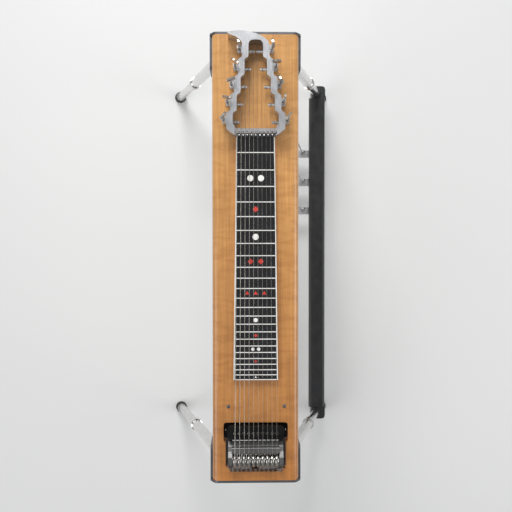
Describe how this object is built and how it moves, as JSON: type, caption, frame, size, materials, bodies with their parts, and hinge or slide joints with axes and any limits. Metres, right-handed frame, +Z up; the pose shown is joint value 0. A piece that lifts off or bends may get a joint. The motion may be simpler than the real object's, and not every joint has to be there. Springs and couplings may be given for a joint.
{
  "type": "pedal steel guitar",
  "caption": "Single-neck pedal steel guitar on four splayed legs, with foot pedals, knee levers, cross shafts, pull rods, turning changer fingers and worm tuners.",
  "frame": {"origin": "on the floor, under the middle of the instrument's bounding box", "axes": "+Z up, +X towards the keyhead end, +Y towards the player"},
  "size_m": [0.9346, 0.4412, 0.7575],
  "materials": {
    "figured_maple": "gloss lacquer",
    "dark_cast_aluminium": "dark, fine cast, satin",
    "brushed_cast_aluminium": "brushed satin",
    "black_lacquer": "black lacquer",
    "string_steel": "bright drawn",
    "polished_steel": "polished",
    "black_plastic": "satin",
    "aged_nickel": "aged plated nickel"
  },
  "bodies": {
    "instrument": {"top_deck": "figured_maple", "front_apron": "figured_maple", "rear_apron": "figured_maple", "head_endplate": "dark_cast_aluminium", "tail_endplate": "dark_cast_aluminium", "neck_block": "figured_maple", "fretboard": "black_lacquer", "keyhead": "brushed_cast_aluminium", "strings_and_nut_rollers": "string_steel", "pickup": "black_plastic", "changer_frame": "brushed_cast_aluminium", "changer_axle": "string_steel", "pedal_bar": "black_lacquer", "leg_head_front": "polished_steel", "leg_head_rear": "polished_steel", "leg_tail_front": "polished_steel", "leg_tail_rear": "polished_steel"},
    "tuner_1": {"tuner_knob_1": "aged_nickel"},
    "tuner_10": {"tuner_knob_10": "aged_nickel"},
    "tuner_2": {"tuner_knob_2": "aged_nickel"},
    "tuner_9": {"tuner_knob_9": "aged_nickel"},
    "tuner_3": {"tuner_knob_3": "aged_nickel"},
    "tuner_8": {"tuner_knob_8": "aged_nickel"},
    "tuner_4": {"tuner_knob_4": "aged_nickel"},
    "tuner_7": {"tuner_knob_7": "aged_nickel"},
    "tuner_5": {"tuner_knob_5": "aged_nickel"},
    "tuner_6": {"tuner_knob_6": "aged_nickel"},
    "pedal_a": {"pedal_a": "brushed_cast_aluminium"},
    "pedal_rod_a": {"pedal_rod_a": "string_steel"},
    "pedal_shaft_a": {"pedal_shaft_a": "string_steel"},
    "pedal_b": {"pedal_b": "brushed_cast_aluminium"},
    "pedal_rod_b": {"pedal_rod_b": "string_steel"},
    "pedal_shaft_b": {"pedal_shaft_b": "string_steel"},
    "pedal_c": {"pedal_c": "brushed_cast_aluminium"},
    "pedal_rod_c": {"pedal_rod_c": "string_steel"},
    "pedal_shaft_c": {"pedal_shaft_c": "string_steel"},
    "knee_lkl": {"knee_lever_lkl": "brushed_cast_aluminium"},
    "knee_lkr": {"knee_lever_lkr": "brushed_cast_aluminium"},
    "knee_rkl": {"knee_lever_rkl": "brushed_cast_aluminium"},
    "knee_rkr": {"knee_lever_rkr": "brushed_cast_aluminium"},
    "pull_rod_1": {"pull_rod_1": "string_steel"},
    "finger_1": {"changer_finger_1": "polished_steel"},
    "pull_rod_2": {"pull_rod_2": "string_steel"},
    "finger_2": {"changer_finger_2": "polished_steel"},
    "pull_rod_3": {"pull_rod_3": "string_steel"},
    "finger_3": {"changer_finger_3": "polished_steel"},
    "pull_rod_4": {"pull_rod_4": "string_steel"},
    "finger_4": {"changer_finger_4": "polished_steel"},
    "pull_rod_5": {"pull_rod_5": "string_steel"},
    "finger_5": {"changer_finger_5": "polished_steel"},
    "pull_rod_6": {"pull_rod_6": "string_steel"},
    "finger_6": {"changer_finger_6": "polished_steel"},
    "pull_rod_7": {"pull_rod_7": "string_steel"},
    "finger_7": {"changer_finger_7": "polished_steel"},
    "pull_rod_8": {"pull_rod_8": "string_steel"},
    "finger_8": {"changer_finger_8": "polished_steel"},
    "pull_rod_9": {"pull_rod_9": "string_steel"},
    "finger_9": {"changer_finger_9": "polished_steel"},
    "pull_rod_10": {"pull_rod_10": "string_steel"},
    "finger_10": {"changer_finger_10": "polished_steel"}
  },
  "joints": [
    {"name": "tuner_1_turn", "type": "hinge", "parent": "instrument", "child": "tuner_1", "pos_m": [0.2597, -0.0596, 0.718], "axis": [0, 0, 1], "continuous": true},
    {"name": "tuner_10_turn", "type": "hinge", "parent": "instrument", "child": "tuner_10", "pos_m": [0.2597, 0.0596, 0.718], "axis": [0, 0, 1], "continuous": true},
    {"name": "tuner_2_turn", "type": "hinge", "parent": "instrument", "child": "tuner_2", "pos_m": [0.29215, -0.0524, 0.718], "axis": [0, 0, 1], "continuous": true},
    {"name": "tuner_9_turn", "type": "hinge", "parent": "instrument", "child": "tuner_9", "pos_m": [0.29215, 0.0524, 0.718], "axis": [0, 0, 1], "continuous": true},
    {"name": "tuner_3_turn", "type": "hinge", "parent": "instrument", "child": "tuner_3", "pos_m": [0.3246, -0.0452, 0.718], "axis": [0, 0, 1], "continuous": true},
    {"name": "tuner_8_turn", "type": "hinge", "parent": "instrument", "child": "tuner_8", "pos_m": [0.3246, 0.0452, 0.718], "axis": [0, 0, 1], "continuous": true},
    {"name": "tuner_4_turn", "type": "hinge", "parent": "instrument", "child": "tuner_4", "pos_m": [0.35705, -0.038, 0.718], "axis": [0, 0, 1], "continuous": true},
    {"name": "tuner_7_turn", "type": "hinge", "parent": "instrument", "child": "tuner_7", "pos_m": [0.35705, 0.038, 0.718], "axis": [0, 0, 1], "continuous": true},
    {"name": "tuner_5_turn", "type": "hinge", "parent": "instrument", "child": "tuner_5", "pos_m": [0.3895, -0.0308, 0.718], "axis": [0, 0, 1], "continuous": true},
    {"name": "tuner_6_turn", "type": "hinge", "parent": "instrument", "child": "tuner_6", "pos_m": [0.3895, 0.0308, 0.718], "axis": [0, 0, 1], "continuous": true},
    {"name": "pedal_a_press", "type": "hinge", "parent": "instrument", "child": "pedal_a", "pos_m": [0.28, -0.18318, 0.076], "axis": [-1, 0, 0], "range_deg": [0, 8], "stiffness_Nm_per_rad": 5, "springref_deg": -8.59},
    {"name": "pedal_rod_a_pull", "type": "slide", "parent": "instrument", "child": "pedal_rod_a", "axis": [0, -0.1491, -0.9888], "range_m": [0, 0.0054]},
    {"name": "pedal_shaft_a_turn", "type": "hinge", "parent": "instrument", "child": "pedal_shaft_a", "pos_m": [0.31, 0, 0.674], "axis": [0, -1, 0], "range_deg": [0, 10.2]},
    {"name": "pedal_b_press", "type": "hinge", "parent": "instrument", "child": "pedal_b", "pos_m": [0.2, -0.18318, 0.076], "axis": [-1, 0, 0], "range_deg": [0, 8], "stiffness_Nm_per_rad": 5, "springref_deg": -8.59},
    {"name": "pedal_rod_b_pull", "type": "slide", "parent": "instrument", "child": "pedal_rod_b", "axis": [0, -0.1491, -0.9888], "range_m": [0, 0.0054]},
    {"name": "pedal_shaft_b_turn", "type": "hinge", "parent": "instrument", "child": "pedal_shaft_b", "pos_m": [0.23, 0, 0.674], "axis": [0, -1, 0], "range_deg": [0, 10.2]},
    {"name": "pedal_c_press", "type": "hinge", "parent": "instrument", "child": "pedal_c", "pos_m": [0.12, -0.18318, 0.076], "axis": [-1, 0, 0], "range_deg": [0, 8], "stiffness_Nm_per_rad": 5, "springref_deg": -8.59},
    {"name": "pedal_rod_c_pull", "type": "slide", "parent": "instrument", "child": "pedal_rod_c", "axis": [0, -0.1491, -0.9888], "range_m": [0, 0.0054]},
    {"name": "pedal_shaft_c_turn", "type": "hinge", "parent": "instrument", "child": "pedal_shaft_c", "pos_m": [0.15, 0, 0.674], "axis": [0, -1, 0], "range_deg": [0, 10.2]},
    {"name": "knee_lkl_push", "type": "hinge", "parent": "instrument", "child": "knee_lkl", "pos_m": [0.175, 0, 0.674], "axis": [0, -1, 0], "range_deg": [0, 10], "stiffness_Nm_per_rad": 5, "springref_deg": -8.59},
    {"name": "knee_lkr_push", "type": "hinge", "parent": "instrument", "child": "knee_lkr", "pos_m": [0.025, 0, 0.674], "axis": [0, 1, 0], "range_deg": [0, 10], "stiffness_Nm_per_rad": 5, "springref_deg": -8.59},
    {"name": "knee_rkl_push", "type": "hinge", "parent": "instrument", "child": "knee_rkl", "pos_m": [-0.09, 0, 0.674], "axis": [0, -1, 0], "range_deg": [0, 10], "stiffness_Nm_per_rad": 5, "springref_deg": -8.59},
    {"name": "knee_rkr_push", "type": "hinge", "parent": "instrument", "child": "knee_rkr", "pos_m": [-0.24, 0, 0.674], "axis": [0, 1, 0], "range_deg": [0, 10], "stiffness_Nm_per_rad": 5, "springref_deg": -8.59},
    {"name": "pull_rod_1_slide", "type": "slide", "parent": "instrument", "child": "pull_rod_1", "axis": [1, 0, 0], "range_m": [0, 0.00354]},
    {"name": "finger_1_turn", "type": "hinge", "parent": "instrument", "child": "finger_1", "pos_m": [-0.3776, -0.03929, 0.714], "axis": [0, -1, 0], "range_deg": [0, 3.36]},
    {"name": "pull_rod_2_slide", "type": "slide", "parent": "instrument", "child": "pull_rod_2", "axis": [-1, 0, 0], "range_m": [0, 0.00354]},
    {"name": "finger_2_turn", "type": "hinge", "parent": "instrument", "child": "finger_2", "pos_m": [-0.3776, -0.03055, 0.714], "axis": [0, 1, 0], "range_deg": [0, 3.36]},
    {"name": "pull_rod_3_slide", "type": "slide", "parent": "instrument", "child": "pull_rod_3", "axis": [1, 0, 0], "range_m": [0, 0.00359]},
    {"name": "finger_3_turn", "type": "hinge", "parent": "instrument", "child": "finger_3", "pos_m": [-0.3776, -0.02183, 0.714], "axis": [0, -1, 0], "range_deg": [0, 3.41]},
    {"name": "pull_rod_4_slide", "type": "slide", "parent": "instrument", "child": "pull_rod_4", "axis": [1, 0, 0], "range_m": [0, 0.00359]},
    {"name": "finger_4_turn", "type": "hinge", "parent": "instrument", "child": "finger_4", "pos_m": [-0.3776, -0.0131, 0.714], "axis": [0, -1, 0], "range_deg": [0, 3.41]},
    {"name": "pull_rod_5_slide", "type": "slide", "parent": "instrument", "child": "pull_rod_5", "axis": [1, 0, 0], "range_m": [0, 0.00359]},
    {"name": "finger_5_turn", "type": "hinge", "parent": "instrument", "child": "finger_5", "pos_m": [-0.3776, -0.00436, 0.714], "axis": [0, -1, 0], "range_deg": [0, 3.41]},
    {"name": "pull_rod_6_slide", "type": "slide", "parent": "instrument", "child": "pull_rod_6", "axis": [1, 0, 0], "range_m": [0, 0.00359]},
    {"name": "finger_6_turn", "type": "hinge", "parent": "instrument", "child": "finger_6", "pos_m": [-0.3776, 0.00436, 0.714], "axis": [0, -1, 0], "range_deg": [0, 3.41]},
    {"name": "pull_rod_7_slide", "type": "slide", "parent": "instrument", "child": "pull_rod_7", "axis": [-1, 0, 0], "range_m": [0, 0.00354]},
    {"name": "finger_7_turn", "type": "hinge", "parent": "instrument", "child": "finger_7", "pos_m": [-0.3776, 0.0131, 0.714], "axis": [0, 1, 0], "range_deg": [0, 3.36]},
    {"name": "pull_rod_8_slide", "type": "slide", "parent": "instrument", "child": "pull_rod_8", "axis": [1, 0, 0], "range_m": [0, 0.00354]},
    {"name": "finger_8_turn", "type": "hinge", "parent": "instrument", "child": "finger_8", "pos_m": [-0.3776, 0.02183, 0.714], "axis": [0, -1, 0], "range_deg": [0, 3.36]},
    {"name": "pull_rod_9_slide", "type": "slide", "parent": "instrument", "child": "pull_rod_9", "axis": [-1, 0, 0], "range_m": [0, 0.00354]},
    {"name": "finger_9_turn", "type": "hinge", "parent": "instrument", "child": "finger_9", "pos_m": [-0.3776, 0.03055, 0.714], "axis": [0, 1, 0], "range_deg": [0, 3.36]},
    {"name": "pull_rod_10_slide", "type": "slide", "parent": "instrument", "child": "pull_rod_10", "axis": [1, 0, 0], "range_m": [0, 0.00359]},
    {"name": "finger_10_turn", "type": "hinge", "parent": "instrument", "child": "finger_10", "pos_m": [-0.3776, 0.03929, 0.714], "axis": [0, -1, 0], "range_deg": [0, 3.41]}
  ],
  "couplings": [
    {"joint": "pedal_rod_a_pull", "follows": "pedal_a_press", "m_per_rad": 0.038},
    {"joint": "pedal_shaft_a_turn", "follows": "pedal_a_press", "ratio": 1.2667},
    {"joint": "pedal_rod_b_pull", "follows": "pedal_b_press", "m_per_rad": 0.038},
    {"joint": "pedal_shaft_b_turn", "follows": "pedal_b_press", "ratio": 1.2667},
    {"joint": "pedal_rod_c_pull", "follows": "pedal_c_press", "m_per_rad": 0.038},
    {"joint": "pedal_shaft_c_turn", "follows": "pedal_c_press", "ratio": 1.2667},
    {"joint": "pull_rod_1_slide", "follows": "knee_rkl_push", "m_per_rad": 0.02},
    {"joint": "finger_1_turn", "follows": "knee_rkl_push", "ratio": 0.33333},
    {"joint": "pull_rod_2_slide", "follows": "knee_rkr_push", "m_per_rad": 0.02},
    {"joint": "finger_2_turn", "follows": "knee_rkr_push", "ratio": 0.33333},
    {"joint": "pull_rod_3_slide", "follows": "pedal_b_press", "m_per_rad": 0.025333},
    {"joint": "finger_3_turn", "follows": "pedal_b_press", "ratio": 0.42222},
    {"joint": "pull_rod_4_slide", "follows": "pedal_c_press", "m_per_rad": 0.025333},
    {"joint": "finger_4_turn", "follows": "pedal_c_press", "ratio": 0.42222},
    {"joint": "pull_rod_5_slide", "follows": "pedal_a_press", "m_per_rad": 0.025333},
    {"joint": "finger_5_turn", "follows": "pedal_a_press", "ratio": 0.42222},
    {"joint": "pull_rod_6_slide", "follows": "pedal_b_press", "m_per_rad": 0.025333},
    {"joint": "finger_6_turn", "follows": "pedal_b_press", "ratio": 0.42222},
    {"joint": "pull_rod_7_slide", "follows": "knee_lkr_push", "m_per_rad": 0.02},
    {"joint": "finger_7_turn", "follows": "knee_lkr_push", "ratio": 0.33333},
    {"joint": "pull_rod_8_slide", "follows": "knee_lkl_push", "m_per_rad": 0.02},
    {"joint": "finger_8_turn", "follows": "knee_lkl_push", "ratio": 0.33333},
    {"joint": "pull_rod_9_slide", "follows": "knee_rkr_push", "m_per_rad": 0.02},
    {"joint": "finger_9_turn", "follows": "knee_rkr_push", "ratio": 0.33333},
    {"joint": "pull_rod_10_slide", "follows": "pedal_a_press", "m_per_rad": 0.025333},
    {"joint": "finger_10_turn", "follows": "pedal_a_press", "ratio": 0.42222}
  ]
}
